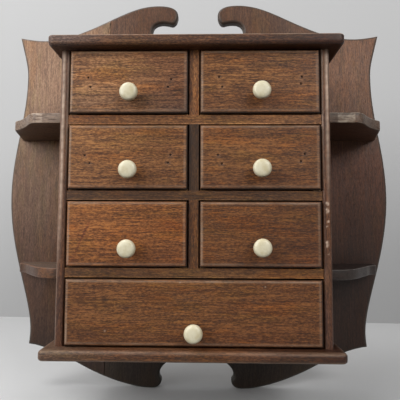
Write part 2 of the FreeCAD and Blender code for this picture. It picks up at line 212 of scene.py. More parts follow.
class Shader:
    """A material's node tree with short calls for the nodes that the finishes use."""

    def __init__(self, name):
        self.material = bpy.data.materials.new(name)
        self.material.use_nodes = True
        self.tree = self.material.node_tree
        self.tree.nodes.clear()
        self.place = self.node("ShaderNodeTexCoord").outputs["Object"]

    def node(self, kind, inputs=None, **settings):
        """A node with its settings, and its inputs set to numbers or linked to outputs."""
        made = self.tree.nodes.new(kind)
        for key, value in settings.items():
            setattr(made, key, value)
        for key, value in (inputs or {}).items():
            if isinstance(value, bpy.types.NodeSocket):
                self.tree.links.new(value, made.inputs[key])
            else:
                made.inputs[key].default_value = value
        return made

    def math(self, operation, first, second=0.0):
        return self.node("ShaderNodeMath", {0: first, 1: second}, operation=operation).outputs[0]

    def noise(self, frequency, shift=(0, 0, 0), detail=3.0, roughness=0.55, place=None):
        """Noise with its own frequency, in cycles per metre, along each axis."""
        mapped = self.node(
            "ShaderNodeMapping",
            {"Vector": place or self.place, "Location": shift, "Scale": frequency},
        )
        inputs = {"Vector": mapped.outputs[0], "Scale": 1.0, "Detail": detail, "Roughness": roughness}
        return self.node("ShaderNodeTexNoise", inputs).outputs["Fac"]

    def step(self, value, low, high):
        """0 below low, 1 above high and smooth between; falling where low is above high."""
        inputs = {"Value": value, "From Min": low, "From Max": high}
        return self.node("ShaderNodeMapRange", inputs, interpolation_type="SMOOTHSTEP").outputs[0]

    def mix(self, share, first, second, blend="MIX"):
        """The first colour, blended with the second as far as the share says."""
        made = self.node("ShaderNodeMix", data_type="RGBA", blend_type=blend)
        for socket, value in zip((made.inputs[0], made.inputs[6], made.inputs[7]), (share, first, second)):
            if isinstance(value, bpy.types.NodeSocket):
                self.tree.links.new(value, socket)
            else:
                socket.default_value = value
        return made.outputs[2]

    def tint(self, share, colour, gain):
        """The colour, multiplied by a gain for each channel as far as the share says."""
        return self.mix(share, colour, (*gain, 1), "MULTIPLY")

    def ramp(self, value, *stops):
        """Colours at their places along a value."""
        made = self.node("ShaderNodeValToRGB", {"Fac": value})
        band = made.color_ramp
        for spot, (at, colour) in enumerate(stops):
            element = band.elements[spot] if spot < 2 else band.elements.new(at)
            element.position = at
            element.color = colour
        return made.outputs["Color"]

    def bump(self, height, distance, strength):
        inputs = {"Height": height, "Distance": distance, "Strength": strength}
        return self.node("ShaderNodeBump", inputs).outputs[0]

    def finish(self, colour, roughness, normal, **settings):
        """The surface: linked colour, roughness and normal, and the rest set on the shader itself."""
        inputs = {"Base Color": colour, "Roughness": roughness, "Normal": normal, **settings}
        surface = self.node("ShaderNodeBsdfPrincipled", inputs)
        output = self.node("ShaderNodeOutputMaterial")
        self.tree.links.new(surface.outputs[0], output.inputs["Surface"])
        return self.material


figure_grain = (9, 70, 0.13)       # cycles per metre along and across the grain, and share of the tone
stripe_grain = (18, 560, 0.22)
fine_grain = (80, 950, 0.26)
fleck_grain = (360, 1100, 0.40)
tone_stops = (0.415, 0.50, 0.585)  # tones that are dark, brown and light
pore_grain = (150, 2300)
pore_limits = (0.60, 0.70)         # a pore starts to show at the first and is full at the second
orange_patches = ((1.20, 0.98, 0.62), 0.48, 0.64, 14, 60)  # gain, the two limits, and cycles per metre
olive_patches = ((0.90, 0.96, 0.72), 0.50, 0.64, 20, 90)
plum_patches = ((0.78, 0.68, 0.66), 0.50, 0.66, 26, 70)
olive_share = 0.6
plum_share = 0.4
wear_grain = (80, 500)
wear_limits = (0.36, 0.58)
# Near black of the tack holes and of the painted shade along the drawers' edges.
pit_black = (14, 9, 7)
bare_skin = (-0.3 * MM, -0.05 * MM)  # the finish gives way to bare wood between these places on Y
sway_frequency = (7, 7, 7)
sway_width = 4.0 * MM
cloud_frequency = (28, 28, 28)
grain_relief = 0.25 * MM
old_varnish = {"IOR": 1.5, "Specular IOR Level": 0.28}


def frequencies(axis, along, across):
    """Frequencies on X, Y and Z for grain that runs along one axis."""
    return tuple(along if spot == axis else across for spot in (X, Y, Z))


def spread_over(s, tone, shades):
    """Three colours, from dark to light, spread over the tone of the grain."""
    return s.ramp(tone, *zip(tone_stops, (linear(*shade) for shade in shades)))


def scratched(s, colour, spots, start, end, width, gain):
    """The colour tinted along a soft line between two points of the front, each given as x and z.

    The distance along the line and beside it come from products with its direction.
    """
    run = np.subtract(end, start)
    length = np.linalg.norm(run)
    run = run / length
    x = s.math("SUBTRACT", spots[X], start[0])
    z = s.math("SUBTRACT", spots[Z], start[1])
    along = s.math("ADD", s.math("MULTIPLY", x, run[0]), s.math("MULTIPLY", z, run[1]))
    aside = s.math("SUBTRACT", s.math("MULTIPLY", x, run[1]), s.math("MULTIPLY", z, run[0]))
    near = s.step(s.math("ABSOLUTE", aside), width, 0.0)
    begun = s.step(along, -0.1 * length, 0.2 * length)
    not_ended = s.step(along, 1.1 * length, 0.8 * length)
    return s.tint(s.math("MULTIPLY", near, s.math("MULTIPLY", begun, not_ended)), colour, gain)


def stained_wood(
    name, axis, seed, dark, brown, light,
    warmth=0.5, edge_colour=None, edge_strength=0.6, broken=0.5, tones=(), scratch=None, bare=None,
):
    """Stained hardwood: bands of figure, fine grain and short dark pores that all run along one axis.

    Colour runs from dark over brown to light with the grain, tinted orange, olive and plum in patches. Each
    tone multiplies it by a gain along one axis, rising from nothing at the first place to all at the second.
    Bare gives the three colours of the face against the wall, which has neither stain nor varnish. Where a
    colour for the edges is given, the surface turns to it with the edge attribute, broken up by a noise;
    that attribute holds pale marks from use and, on several pieces, painted highlights on arrises that face
    the lamps. The surface turns near black with the second attribute, which holds the tack holes of the
    drawer fronts and painted shade along their edges. Several of the tones are painted light and shade.
    """
    s = Shader(name)
    shift = (seed * 3.7, seed * 5.3, seed * 2.9)
    wander = s.math("SUBTRACT", s.noise(sway_frequency, shift, detail=1.0), 0.5)
    sway = s.math("MULTIPLY", wander, sway_width)
    offset = s.node("ShaderNodeCombineXYZ", {spot: sway for spot in (X, Y, Z) if spot != axis})
    bend = s.node("ShaderNodeVectorMath", {0: s.place, 1: offset.outputs[0]}, operation="ADD")
    place = bend.outputs[0]
    tone = 0.0
    for along, across, share in (figure_grain, stripe_grain, fine_grain, fleck_grain):
        layer = s.noise(frequencies(axis, along, across), shift, 4.0, 0.66, place)
        tone = s.math("ADD", tone, s.math("MULTIPLY", layer, share))
    colour = spread_over(s, tone, (dark, brown, light))
    patches = ((orange_patches, warmth), (olive_patches, olive_share), (plum_patches, plum_share))
    for (gain, low, high, along, across), share in patches:
        patch_shift = tuple(part + 31 * across for part in shift)
        patch = s.step(s.noise(frequencies(axis, along, across), patch_shift, 4.0, 0.65), low, high)
        colour = s.tint(s.math("MULTIPLY", patch, share), colour, gain)
    pores = s.step(s.noise(frequencies(axis, *pore_grain), shift, 1.0, 0.5, place), *pore_limits)
    colour = s.mix(s.math("MULTIPLY", pores, 0.5), colour, linear(*(0.5 * np.array(dark))))
    spots = s.node("ShaderNodeSeparateXYZ", {"Vector": s.place}).outputs
    # Tones: real changes of colour, and on several pieces painted light and shade.
    for along, low, high, gain in tones:
        colour = s.tint(s.step(spots[along], low, high), colour, gain)
    if scratch:
        colour = scratched(s, colour, spots, *scratch)
    if bare:
        colour = s.mix(s.step(spots[Y], *bare_skin), colour, spread_over(s, tone, bare))
    # The edge colour: pale marks from use, and on several pieces painted highlights on arrises that face the
    # lamps.
    if edge_colour:
        edge = s.node("ShaderNodeAttribute", attribute_name="edge").outputs["Fac"]
        gaps = s.step(s.noise(frequencies(axis, *wear_grain), shift, 3.0, 0.7), *wear_limits)
        kept = s.math("ADD", s.math("MULTIPLY", gaps, broken), 1 - broken)
        edge_share = s.math("MULTIPLY", s.math("MULTIPLY", edge, kept), edge_strength)
        colour = s.mix(edge_share, colour, linear(*edge_colour))
        # Near black in the tack holes and, along the drawers' edges, painted shade.
        pit = s.node("ShaderNodeAttribute", attribute_name="pit").outputs["Fac"]
        colour = s.mix(pit, colour, linear(*pit_black))
    cloud = s.noise(cloud_frequency, shift, 3.0, 0.6)
    roughness = s.math("ADD", 0.36, s.math("MULTIPLY", cloud, 0.16))
    roughness = s.math("ADD", roughness, s.math("MULTIPLY", pores, 0.15))
    relief = s.math("SUBTRACT", s.math("MULTIPLY", layer, 0.6), s.math("MULTIPLY", pores, 0.5))
    return s.finish(colour, roughness, s.bump(relief, grain_relief, 0.6), **old_varnish)


def scrolled_board(name, outline, low, high):
    """One board of the back: its outline carried from the wall to the face, and pulled in at the front.

    The inset follows a quarter round. The edge attribute greys the rounding: it is high there and 0 at the
    glue lines and on the face against the wall.
    """
    path, cuts = clipped(outline, low, high)
    pull = inward(path, np.where(cuts, glue_line_ease, 1.0))
    front = quarter(back_edge_radius)
    insets = np.concatenate([[back_arris, 0], front[:, 0]])
    reach = np.concatenate([[0, back_arris], back_thickness - front[:, 1]])
    across = path + insets[:, None, None] * pull
    depth = np.broadcast_to(-reach[:, None], across.shape[:2])
    rings = np.stack([across[..., 0], depth, across[..., 1]], axis=-1)
    full, gone = (share * back_edge_radius for share in back_edge_grey_band)
    rim = np.clip((gone - insets) / (gone - full), 0, 1)[:, None]
    rim[0] = 0
    return wrapped(name, rings, edge=np.where(cuts, 0.0, rim))


wing_brown = dict(dark=(56, 36, 26), brown=(78, 52, 37), light=(101, 70, 51))
# A paler copy of the wing brown for the left board: painted light from the key lamp on that side.
lit_left_wing_brown = dict(dark=(70, 47, 36), brown=(90, 62, 47), light=(109, 79, 62))
dark_edge = (66, 60, 53)
bare_wood = ((66, 50, 36), (104, 82, 60), (130, 104, 77))
# Gain that darkens the foot of the back: painted shade under the bottom board.
painted_foot_shade = (0.34, 0.47, 0.62)
# For each board its tones: the axis, where the gain starts, where it is full, and the gain. The paler gains
# high on the boards and at the centre board's left end are painted sheen and light from the lamps; the
# darker gains low down are painted shade under the bottom board and, on the right board, in the shadow of
# the case.
back_tones = {
    "backboard_left": (
        (Z, -0.08, 0.12, (2.9, 3.4, 3.3)),
        (Z, 0.188, 0.212, (0.68, 0.72, 0.84)),
        (Z, -0.09, -0.17, (0.40, 0.44, 0.50)),
    ),
    "backboard_centre": (
        (Z, 0.10, 0.30, (1.2, 1.13, 1.0)),
        (X, -0.07, -0.10, (1.35, 1.42, 1.48)),
        (Z, -0.05, -0.17, painted_foot_shade),
    ),
    "backboard_right": (
        (Z, 0.01, 0.12, (1.8, 1.65, 1.35)),
        (Z, 0.08, 0.04, (1.22, 0.93, 0.80)),
        (Z, 0.05, -0.09, (0.27, 0.30, 0.36)),
    ),
}
outline = scrolled_outline()
beyond = 1.0              # further out than any wing
glue_lines = (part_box("backboard_left")[1][X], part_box("backboard_right")[0][X])
bounds = (-beyond, *glue_lines, beyond)
for seed, (node, low, high) in enumerate(zip(back_tones, bounds, bounds[1:]), 1):
    board = scrolled_board("scrolled_" + node, outline, low, high)
    shades = lit_left_wing_brown if node == "backboard_left" else wing_brown
    finish = dict(edge_colour=dark_edge, edge_strength=0.85, broken=0.25, tones=back_tones[node], bare=bare_wood, **shades)
    board.data.materials.append(stained_wood(node + "_wood", Z, seed, warmth=0.4, **finish))
    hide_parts(node)
    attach(board, "cabinet")


# ---- Case sides ------------------------------------------------------------------------------
# Two upright boards of the same wood, bullnosed at the front and rubbed pale there by hands and cloths;
# the lines on the arrises and on the left side are partly a painted highlight from the key lamp.
# Their inner faces are housed for the partitions; the housings stop short of the front.

side_edge_radius = 3.0 * MM
housing_stop = 9.0 * MM   # the housings stop this far behind the partitions' front edge
housing_clearance = 0.05 * MM
end_arris = 0.15 * MM
station_pitch = 1.0 * MM
worn_depth = 2.2 * MM     # how far back from the front the sides are uneven and carry their pale lines
side_wander = 0.22 * MM


def front_corners(x0, x1, front, radius):
    """The left and the right front corner of a plan, each a quarter circle about its centre."""
    corners = []
    for centre, start in ((x0 + radius, 180), (x1 - radius, 270)):
        angle = np.radians(np.linspace(start, start + 90, arc_steps + 1))
        circle = np.stack([np.cos(angle), np.sin(angle)], axis=1)
        corners.append((centre, front + radius) + radius * circle)
    return corners


def spaced(low, high, pitch):
    """Evenly spaced places strictly between two ends."""
    count = max(2, int(round((high - low) / pitch)))
    return np.linspace(low, high, count + 1)[1:-1]


def ripple(place, seed, shortest=9 * MM, longest=60 * MM, waves=6):
    """A gentle wander between -1 and 1: sines of random phase, the long ones the strongest."""
    draw = np.random.default_rng(seed)
    length = np.geomspace(shortest, longest, waves)
    phase = draw.uniform(0, 2 * np.pi, waves)
    angle = 2 * np.pi * np.asarray(place)[..., None] / length + phase
    return (np.sin(angle) * length).sum(-1) / length.sum()


def lifted(plan, levels):
    """rings[t, s, xyz] of a plan[s, xy], the same at each level, or plan[t, s, xy], one for each level."""
    plan = np.broadcast_to(plan, (len(levels),) + plan.shape[-2:])
    return np.concatenate([plan, np.broadcast_to(levels[:, None, None], plan.shape[:2] + (1,))], axis=-1)


def side_rings(low, high):
    """The right side: a bullnosed plan section carried up, its inner face let in at each partition."""
    rear = high[Y]
    partition_low, partition_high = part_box("partition_lower")
    housing_start = partition_low[Y] + housing_stop - housing_clearance
    nose = front_corners(low[X], high[X], low[Y], side_edge_radius)
    inner = [(low[X], rear), (low[X], housing_start), (low[X], housing_start)]
    path = np.vstack([inner, *nose, [(high[X], rear)]])
    let_in = np.zeros(len(path), bool)
    let_in[:2] = True
    depth = partition_high[X] + housing_clearance - low[X]
    stations = [low[Z], low[Z] + end_arris]
    housed = [False, False]
    for level in ("lower", "middle", "upper"):
        bottom, top = (corner[Z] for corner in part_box("partition_" + level))
        between = spaced(stations[-1], bottom, station_pitch)
        within = spaced(bottom, top, station_pitch)
        stations += [*between, bottom, bottom, *within, top, top]
        housed += [False] * (len(between) + 1) + [True] * (len(within) + 2) + [False]
    between = spaced(stations[-1], high[Z] - end_arris, station_pitch)
    stations = np.array(stations + [*between, high[Z] - end_arris, high[Z]])
    housed = np.array(housed + [False] * (len(between) + 2))
    rings = lifted(path, stations)
    rings[..., X] += depth * (housed[:, None] & let_in[None])
    return rings


def mirrored(rings):
    """The rings on the other side of the middle, still anticlockwise."""
    return rings[:, ::-1] * (-1, 1, 1)


def bump_at(place, centre, spread):
    """A bell of the distance from a centre."""
    return np.exp(-(((place - centre) / spread) ** 2))


def rubbed_and_lit_line(x, z, centre, width, fading, seed):
    """A pale line up the front of a side: a bell across it, beaded by two ripples, fading to the foot."""
    beads = 0.78 + 0.22 * ripple(z, seed, 2.5 * MM, 9 * MM, 3) + 0.15 * ripple(z, seed + 1)
    strength = np.clip((z - fading[0]) / (fading[1] - fading[0]), 0, 1)
    return bump_at(x, centre, width) * np.clip(beads, 0, 1) * strength


# Chips on the right side: across from the middle of the case, height and size, in mm
side_chips = (
    (116.2, -6.4, 0.9),
    (117.3, -7.4, 1.0),
    (116.1, -12.2, 0.9),
    (117.0, -13.6, 1.3),
    (116.6, -15.3, 0.9),
    (117.8, -22.6, 0.6),
    (116.2, -27.0, 0.7),
    (115.7, -40.9, 0.9),
    (116.4, -42.6, 1.1),
    (116.0, -44.2, 0.8),
    (117.0, -51.0, 0.7),
)
# Where the pale lines are, across from the middle of the case and with their width, in mm. The line on the
# right side is from use; the line on the left side and the lines on the arrises are partly painted
# highlights.
inner_arris = (113.4, 0.8)
outer_arris = (120.0, 0.5)
right_line = (118.1, 1.25)
left_line = (117.6, 1.25)
left_line_lean = 2.0      # mm that the left line runs outwards below the middle
right_line_fading = (-20 * MM, 90 * MM)
left_line_fading = (-70 * MM, 20 * MM)

side_brown = dict(dark=(50, 31, 22), brown=(84, 55, 39), light=(116, 80, 58))
side_tones = ((Z, -0.04, -0.14, (0.80, 0.80, 0.92)),)
for node, seed in (("side_right", 5), ("side_left", 6)):
    rings = side_rings(*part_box("side_right"))
    x, z = rings[..., X] / MM, rings[..., Z]
    front = rings[..., Y].min()
    near_front = np.clip(1 - (rings[..., Y] - front) / worn_depth, 0, 1)
    rings[..., Y] += side_wander * np.abs(ripple(z, seed)) * near_front
    if node == "side_right":
        edge = rubbed_and_lit_line(x, z, *right_line, right_line_fading, seed)
        for chip_x, chip_z, size in side_chips:
            away = np.hypot(x - chip_x, (z / MM - chip_z) / 1.3)
            edge = np.maximum(edge, 1.1 * np.exp(-((away / size) ** 4)))
    else:
        lean = left_line_lean * np.clip(-z / (80 * MM), 0, 1)
        edge = rubbed_and_lit_line(x - lean, z, *left_line, left_line_fading, seed)
        # Painted highlight on the outer arris of the left side, which faces the key lamp.
        edge += 0.35 * bump_at(x, *outer_arris)
    # A pale inner arris on both sides, stronger higher up: partly a painted highlight.
    edge += 0.5 * bump_at(x, *inner_arris) * np.clip(z / (60 * MM), 0, 1)
    edge = np.clip(edge * near_front**0.5, 0, 1)
    if node == "side_left":
        rings = mirrored(rings)
        edge = edge[:, ::-1]
    side = wrapped("case_" + node, rings, edge=edge)
    finish = dict(edge_colour=(206, 178, 156), edge_strength=0.95, broken=0.3, tones=side_tones, **side_brown)
    side.data.materials.append(stained_wood(node + "_wood", Z, seed, warmth=0.5, **finish))
    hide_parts(node)
    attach(side, "cabinet")


# ---- Top and bottom boards -------------------------------------------------------------------
# Horizontal boards nailed over the ends of the case, wider and deeper than it. Their front corners are
# rounded in plan; the top board's edge is rounded mostly below, the bottom board's above and below.

plan_corner = 5.5 * MM
front_pitch = 4.0 * MM
cap_inset = 1.0 * MM      # how far inside the rounding the flat faces are closed
board_wander = 0.14 * MM


def row(x, y):
    """Points of a plan with one of the two places the same for all."""
    return np.stack(np.broadcast_arrays(x, y), axis=1)


def moulded_rings(low, high, upper_radius, lower_radius, lines, seed):
    """A plan outline with round front corners, carried up a moulded edge and pulled in by it."""
    (x0, front, z0), (x1, rear, z1) = low, high
    straight = row(spaced(x0 + plan_corner, x1 - plan_corner, front_pitch), front)
    left, right = front_corners(x0, x1, front, plan_corner)
    ends = spaced(front + plan_corner, rear, front_pitch)
    path = np.vstack([[(x0, rear)], row(x0, ends[::-1]), left, straight, right, row(x1, ends), [(x1, rear)]])
    shares = np.ones(len(path))
    shares[-1] = 0
    lower = quarter(lower_radius)[::-1]
    upper = quarter(upper_radius)
    caps = (lower_radius + cap_inset, upper_radius + cap_inset)
    inset = np.concatenate([caps[:1], lower[:, 0], upper[:, 0], caps[1:]])
    level = np.concatenate([[z0], z0 + lower[:, 1], z1 - upper[:, 1], [z1]])
    along = np.cumsum(np.linalg.norm(np.roll(path, -1, axis=0) - path, axis=1))
    wander = board_wander * np.abs(ripple(along, seed))
    at_edge = np.clip(1 - np.abs(level - (z0 + z1) / 2) / (z1 - z0), 0, 1)
    pull = inward(path, shares)
    rings = lifted(path + (inset[:, None] + at_edge[:, None] * wander)[..., None] * pull, level)
    # Pale lines along the arrises: from use, and a painted highlight where they catch the lamps.
    upper_line = bump_at(level, z1 - 0.3 * upper_radius, 0.35 * upper_radius) * (inset < 1.1 * upper_radius)
    lower_line = bump_at(level, z0 + 0.3 * lower_radius, 0.4 * lower_radius) * (inset < lower_radius)
    line_wander = 0.7 + 0.3 * ripple(along, seed + 3)
    return rings, np.clip((lines[0] * upper_line + lines[1] * lower_line)[:, None] * line_wander, 0, 1)


board_brown = dict(dark=(40, 24, 16), brown=(80, 50, 32), light=(126, 86, 58))
# Each board is painted darker towards its right end, as shade away from the key lamp, and greyer and paler
# at its left end, as a painted sheen from that lamp.
board_tones = {
    "top_board": ((X, -0.02, 0.13, (0.35, 0.27, 0.26)), (X, -0.07, -0.12, (1.3, 1.85, 3.1))),
    "bottom_board": ((X, -0.02, 0.13, (0.33, 0.26, 0.25)), (X, -0.07, -0.12, (1.15, 1.55, 2.1))),
}
# For each board: upper and lower radius, strength of the pale line on each, partly from use and partly a
# painted highlight, and seed
for node, upper, lower, lines, seed in (
    ("top_board", 1.6 * MM, 3.6 * MM, (1.0, 0.0), 8),
    ("bottom_board", 3.6 * MM, 2.6 * MM, (0.35, 0.6), 9),
):
    rings, edge = moulded_rings(*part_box(node), upper, lower, lines, seed)
    board = wrapped("moulded_" + node, rings, edge=edge)
    finish = dict(edge_colour=(190, 158, 132), edge_strength=0.7, broken=0.6, tones=board_tones[node], **board_brown)
    board.data.materials.append(stained_wood(node + "_wood", X, seed, warmth=0.55, **finish))
    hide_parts(node)
    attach(board, "cabinet")


# ---- Partitions and dividers -----------------------------------------------------------------
# Full-depth shelves under the three upper rows and the uprights between the paired drawers, all square
# edged and set just behind the bullnose of the sides. The grain runs along each piece.

front_brown = dict(dark=(54, 32, 18), brown=(100, 64, 36), light=(148, 101, 60))
lower_line = (1.1 * MM, 0.3 * MM)  # above the rail's underside, where it starts to be pale and is palest
upper_line = 1.0 * MM              # the same below its top, palest at the very edge


def coat(node, material):
    """Gives a CAD piece a material of its own."""
    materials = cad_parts[node].data.materials
    materials.clear()
    materials.append(material)


def scaled(shades, gain):
    """The named colours of a wood, each multiplied by a gain."""
    return {shade: tuple(np.multiply(gain, colour)) for shade, colour in shades.items()}


for node, axis, seed, gain in (
    ("partition_lower", X, 11, 0.86),
    ("partition_middle", X, 12, 0.76),
    ("partition_upper", X, 13, 1.08),
    ("divider_lower", Z, 14, 0.96),
    ("divider_middle", Z, 15, 0.60),
    ("divider_upper", Z, 16, 1.22),
):
    low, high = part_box(node)
    if axis == Z:
        # The left part of each divider is painted darker: the shadow that the drawer front to its left casts
        # on it.
        tones = ((X, 1 * MM, -4 * MM, (0.50, 0.46, 0.50)),)
    else:
        tones = (
            (Z, low[Z] + lower_line[0], low[Z] + lower_line[1], (1.9, 2.1, 2.4)),
            (Z, high[Z] - upper_line, high[Z], (1.5, 1.4, 1.3)),
        )
    finish = dict(tones=tones, **scaled(front_brown, gain))
    coat(node, stained_wood(node + "_wood", axis, seed, warmth=0.7, **finish))


# ---- Side shelves ----------------------------------------------------------------------------
# Four small shelves between the case and the wings, butted and nailed. The front runs straight out from
# the case and then falls back in an ogee to a rounded nose; each left shelf mirrors its right one.

shelf_arris = 0.7 * MM
nose_radius = 3.0 * MM


def corner_round(before, corner, after, radius):
    """A corner of a path, rounded by a curve between two points at the radius from it."""
    before, corner, after = (np.array(point, float) for point in (before, corner, after))
    start = corner + radius * (before - corner) / np.linalg.norm(before - corner)
    end = corner + radius * (after - corner) / np.linalg.norm(after - corner)
    poles = (start, 0.6 * corner + 0.4 * start, 0.6 * corner + 0.4 * end, end)
    return np.vstack([bezier(poles, arc_steps), [end]])


def shelf_path(rear, wall_reach, depth, flat, nose_reach, nose_depth, turn):
    """Plan of a right-hand shelf: straight front, two curves for the ogee, the nose, back to the wall.

    Reach is measured out from the case and depth from the wall. The curves meet at the turn, given as
    shares of the run and the fall between the end of the straight and the nose.
    """
    run = nose_reach - flat
    fall = depth - nose_depth

    def at(reach, forward):
        return np.array((half_width + reach, rear - forward))

    corner = at(flat, depth)
    middle = at(flat + turn[0] * run, depth - turn[1] * fall)
    nose = at(nose_reach, nose_depth)
    steepest = np.array((0.3 * run, 0.4 * fall))
    flattest = np.array((0.2 * run, 0.12 * fall))
    first = bezier((corner, corner + (0.5 * turn[0] * run, 0), middle - 0.5 * steepest, middle))
    second = bezier((middle, middle + 0.5 * steepest, nose - flattest, nose))
    second = second[np.linalg.norm(second - nose, axis=1) > nose_radius]
    wall = at(wall_reach, 0)
    nose_round = corner_round(second[-1], nose, wall, nose_radius)
    front = row(spaced(half_width, corner[0], 0.3 * front_pitch), corner[1])
    return np.vstack([[at(0, 0), at(0, depth)], front, first, second, nose_round, [wall]])


def shelf_rings(node, pale_front, depth, flat, nose_reach, nose_depth, turn):
    """The shelf's plan carried up between its faces, with a small arris along the exposed edges.

    Its front is paled between two distances from the case, given in mm with the strengths there and
    elsewhere. The paleness is from use, and on the upper left shelf partly a painted sheen.
    """
    low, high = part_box(node)
    rear = high[Y]
    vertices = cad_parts[node].data.vertices
    corners = np.empty(3 * len(vertices))
    vertices.foreach_get("co", corners)
    corners = corners.reshape(-1, 3)
    wall_reach = corners[corners[:, Y] > rear - end_arris, X].max() - half_width
    path = shelf_path(rear, wall_reach, depth * MM, flat * MM, nose_reach * MM, nose_depth * MM, turn)
    shares = np.ones(len(path))
    shares[[0, -1]] = 0
    rounded = quarter(shelf_arris, 4)
    inset = np.concatenate([[3 * shelf_arris], rounded[::-1, 0], rounded[:, 0], [3 * shelf_arris]])
    level = np.concatenate([[low[Z]], low[Z] + rounded[::-1, 1], high[Z] - rounded[:, 1], [high[Z]]])
    rings = lifted(path + inset[:, None, None] * inward(path, shares), level)
    at_arris = bump_at(level, high[Z] - 0.3 * shelf_arris, 0.4 * shelf_arris)
    at_arris += 0.6 * bump_at(level, low[Z] + 0.3 * shelf_arris, 0.4 * shelf_arris)
    at_arris *= inset < 1.1 * shelf_arris
    reach = (path[:, 0] - half_width) / MM
    edge_share = np.where((reach > pale_front[0]) & (reach < pale_front[1]), pale_front[2], pale_front[3]) * shares
    on_front = (inset < 0.5 * shelf_arris)[:, None] * edge_share
    return rings, np.clip(at_arris[:, None] + on_front, 0, 1)


upper_shelf = dict(depth=83.6, flat=28, nose_reach=62.2, nose_depth=51.8, turn=(0.48, 0.48))
lower_shelf = dict(depth=80, flat=8, nose_reach=66.8, nose_depth=19.6, turn=(0.65, 0.59))
shelf_brown = dict(dark=(44, 29, 22), brown=(76, 53, 41), light=(112, 86, 68))
# For each shelf: gain of the brown, where its front is paled and how much, and the colour it turns to. The
# paleness is from use, and on the upper left shelf partly a painted sheen; the dark gain of the lower right
# shelf is painted shade in the shadow of the case.
shelf_looks = {
    "shelf_upper_left": (1.05, (23, 28, 0.85, 0.40), (208, 186, 166)),
    "shelf_upper_right": ((0.92, 0.84, 0.78), (12, 27, 0.75, 0.16), (196, 180, 160)),
    "shelf_lower_left": (0.82, (10, 28, 0.55, 0.12), (136, 88, 56)),
    "shelf_lower_right": ((0.40, 0.33, 0.30), (52, 57, 0.55, 0.08), (116, 108, 102)),
}
for level, sizes in (("upper", upper_shelf), ("lower", lower_shelf)):
    for hand, seed in (("right", 20), ("left", 21)):
        node = f"shelf_{level}_{hand}"
        gain, pale_front, edge_colour = shelf_looks[node]
        rings, edge = shelf_rings(f"shelf_{level}_right", pale_front, **sizes)
        if hand == "left":
            rings = mirrored(rings)
            edge = edge[:, ::-1]
        shelf = wrapped("side_" + node, rings, edge=edge)
        seed += 2 * (level == "lower")
        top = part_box(node)[1][Z]
        # The top face of the lower left shelf is painted paler and greyer: painted light from above.
        tones = ((Z, top - 0.6 * MM, top, (2.4, 3.1, 3.7)),) if node == "shelf_lower_left" else ()
        finish = dict(edge_colour=edge_colour, edge_strength=0.8, broken=0.8, tones=tones, **scaled(shelf_brown, gain))
        shelf.data.materials.append(stained_wood(node + "_wood", X, seed, warmth=0.3, **finish))
        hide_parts(node)
        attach(shelf, "cabinet")


# ---- Nails -----------------------------------------------------------------------------------
# Cut iron nails through the back and the case joints, their heads punched just below the surface and
# brown with old rust.


def old_iron(name, seed):
    """Dark iron with brown bloom where a noise is high."""
    s = Shader(name)
    bloom = s.step(s.noise((500, 500, 500), (seed, seed, seed)), 0.42, 0.62)
    colour = s.mix(bloom, linear(52, 47, 44), linear(88, 56, 38))
    roughness = s.math("ADD", 0.42, s.math("MULTIPLY", bloom, 0.4))
    normal = s.bump(bloom, 0.1 * MM, 0.4)
    return s.finish(colour, roughness, normal, **{"Metallic": 0.75, "IOR": 2.2})


iron = old_iron("old_iron", 1)
coat("case_nails", iron)


# ---- Drawers ---------------------------------------------------------------------------------
# Seven drawers. Each front is one board with its face edges rounded, lapped over the sides and grooved
# for the bottom; the boxes are thin pale wood, never stained, gone brown with age.

front_edge_radius = 1.8 * MM
worn_corner = 0.8 * MM
rabbet_depth = 5.0 * MM
groove_depth = 3.1 * MM
groove_clearance = 0.1 * MM
box_side = 6.0 * MM
face_pitch = 5.0 * MM
least_gap = 0.08 * MM      # places along a face that are closer than this are made one
front_wander = 0.20 * MM
pit_radius = 1.25 * MM
pit_depth = 1.1 * MM
shaded_margin = 0.7 * MM   # how much further in the painted gap shade reaches on the right and lower edges, away from the key lamp
# Width of the painted shade in the gaps round the front.
painted_shade_width = 1.1 * MM
pale_line = (1.9 * MM, 0.8 * MM)  # how far in from the edges of the face, and how wide
levels = ("third", "second", "top")
drawers = ("wide",) + tuple(f"{level}_{hand}" for level in levels for hand in ("left", "right"))

# Old tack holes: in from the left or right end of the front, and up from its lower edge, in mm
tack_holes = {
    "top_left": ((16.7, 32.4), (18.7, 24.0), (-15.1, 30.7), (-17.9, 23.8)),
    "top_right": ((16.7, 32.7), (19.6, 23.7), (-15.9, 32.5), (-16.8, 26.1)),
    "second_left": ((14.9, 30.0), (19.1, 22.9), (-15.1, 30.5), (-17.2, 23.4)),
    "second_right": ((15.9, 30.4), (19.3, 22.6), (-14.0, 31.3), (-17.6, 24.8)),
}

# Small light chips: across from the middle of the case, height and size, in mm
front_chips = {"wide": ((-75.8, -117.3, 0.75), (-11.4, -75.6, 0.9), (62.0, -79.0, 0.5))}


def graded(low, high, features):
    """Places along a face: crowded round its edges and its small features, and evenly spread elsewhere."""
    radius = front_edge_radius
    near_edge = quarter(radius)[:, 0]
    fade = radius + np.array([0.5, 1.2, 2.4]) * MM
    close = np.linspace(-1.9, 1.9, 11) * pit_radius
    groups = [low + near_edge, high - near_edge, low + fade, high - fade]
    groups += [spaced(low + radius, high - radius, face_pitch)]
    groups += [feature + close for feature in features]
    places = np.unique(np.round(np.concatenate(groups), 6))
    gap = np.diff(places, prepend=places[0] - 1)
    return places[gap > least_gap]


def fall_back(distance, radius):
    """How far a quarter round lies back at a distance from its edge."""
    return radius - np.sqrt(np.clip(radius**2 - np.clip(radius - distance, 0, radius) ** 2, 0, None))


